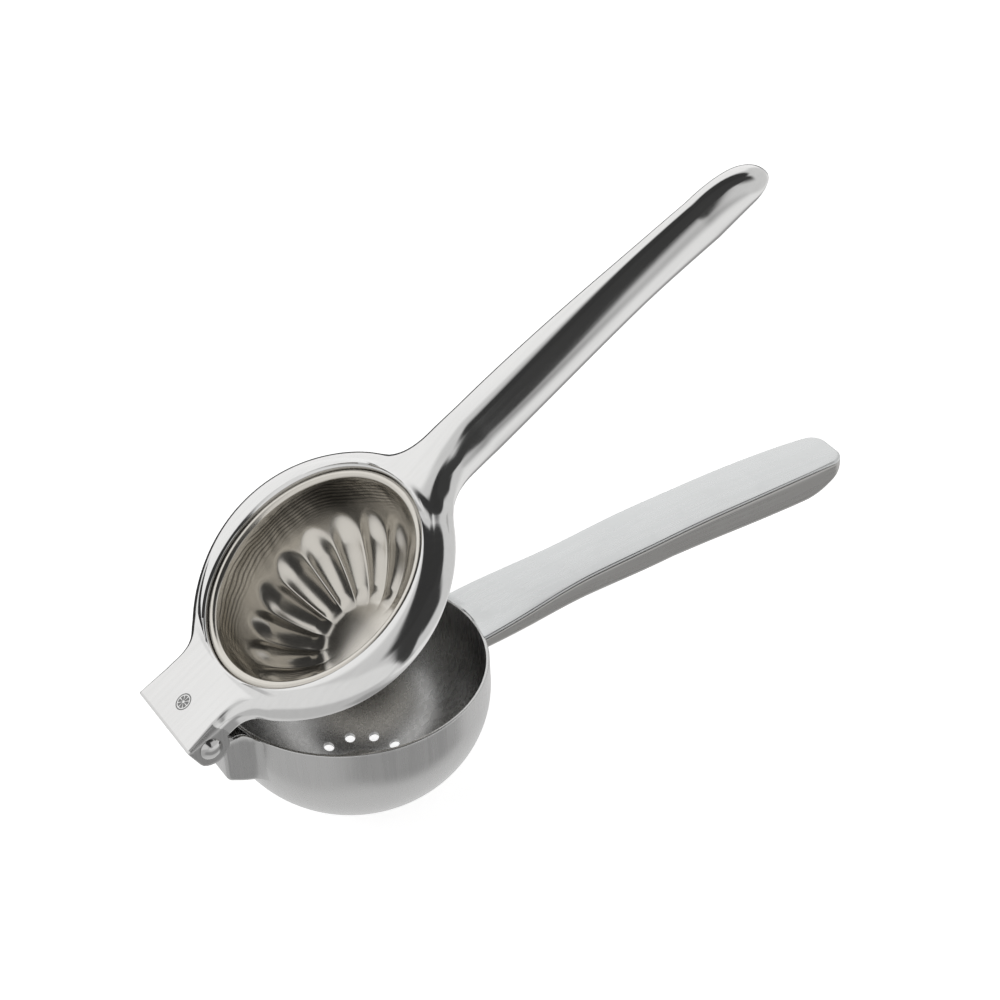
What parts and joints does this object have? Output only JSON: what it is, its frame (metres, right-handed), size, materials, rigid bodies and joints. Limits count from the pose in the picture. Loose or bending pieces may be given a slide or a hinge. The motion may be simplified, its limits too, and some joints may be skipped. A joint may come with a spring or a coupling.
{
  "type": "citrus press juicer",
  "caption": "Hand-held citrus press: drained round bowl on a flat-topped handle, with a hinged arm that carries a fluted press cup in a ring.",
  "frame": {"origin": "centre of the small flat base under the bowl", "axes": "+Z along the bowl's axis towards its rim, +X from the bowl towards the handle tips, hinge pin along Y"},
  "size_m": [0.2186, 0.0876, 0.151],
  "materials": {
    "satin_steel": "fine satin, directional grain",
    "brushed_plate": "brushed along the handle",
    "polished_steel": "polished stainless steel",
    "cup_steel": "drawn and polished, with fine draw lines",
    "hinge_steel": "polished"
  },
  "bodies": {
    "base": {"bowl": "satin_steel", "hinge_bracket": "satin_steel", "lower_handle_shell": "satin_steel", "lower_handle_plate": "brushed_plate", "spacer_sleeve": "hinge_steel", "hinge_washers": "hinge_steel"},
    "press_arm": {"upper_arm": "polished_steel", "upper_handle_plate": "brushed_plate", "press_cup": "cup_steel", "hinge_rivet": "hinge_steel"}
  },
  "joints": [
    {"name": "hinge", "type": "hinge", "parent": "base", "child": "press_arm", "pos_m": [-0.0494, 0, 0.04475], "axis": [0, -1, 0], "range_deg": [-27, 78]}
  ]
}
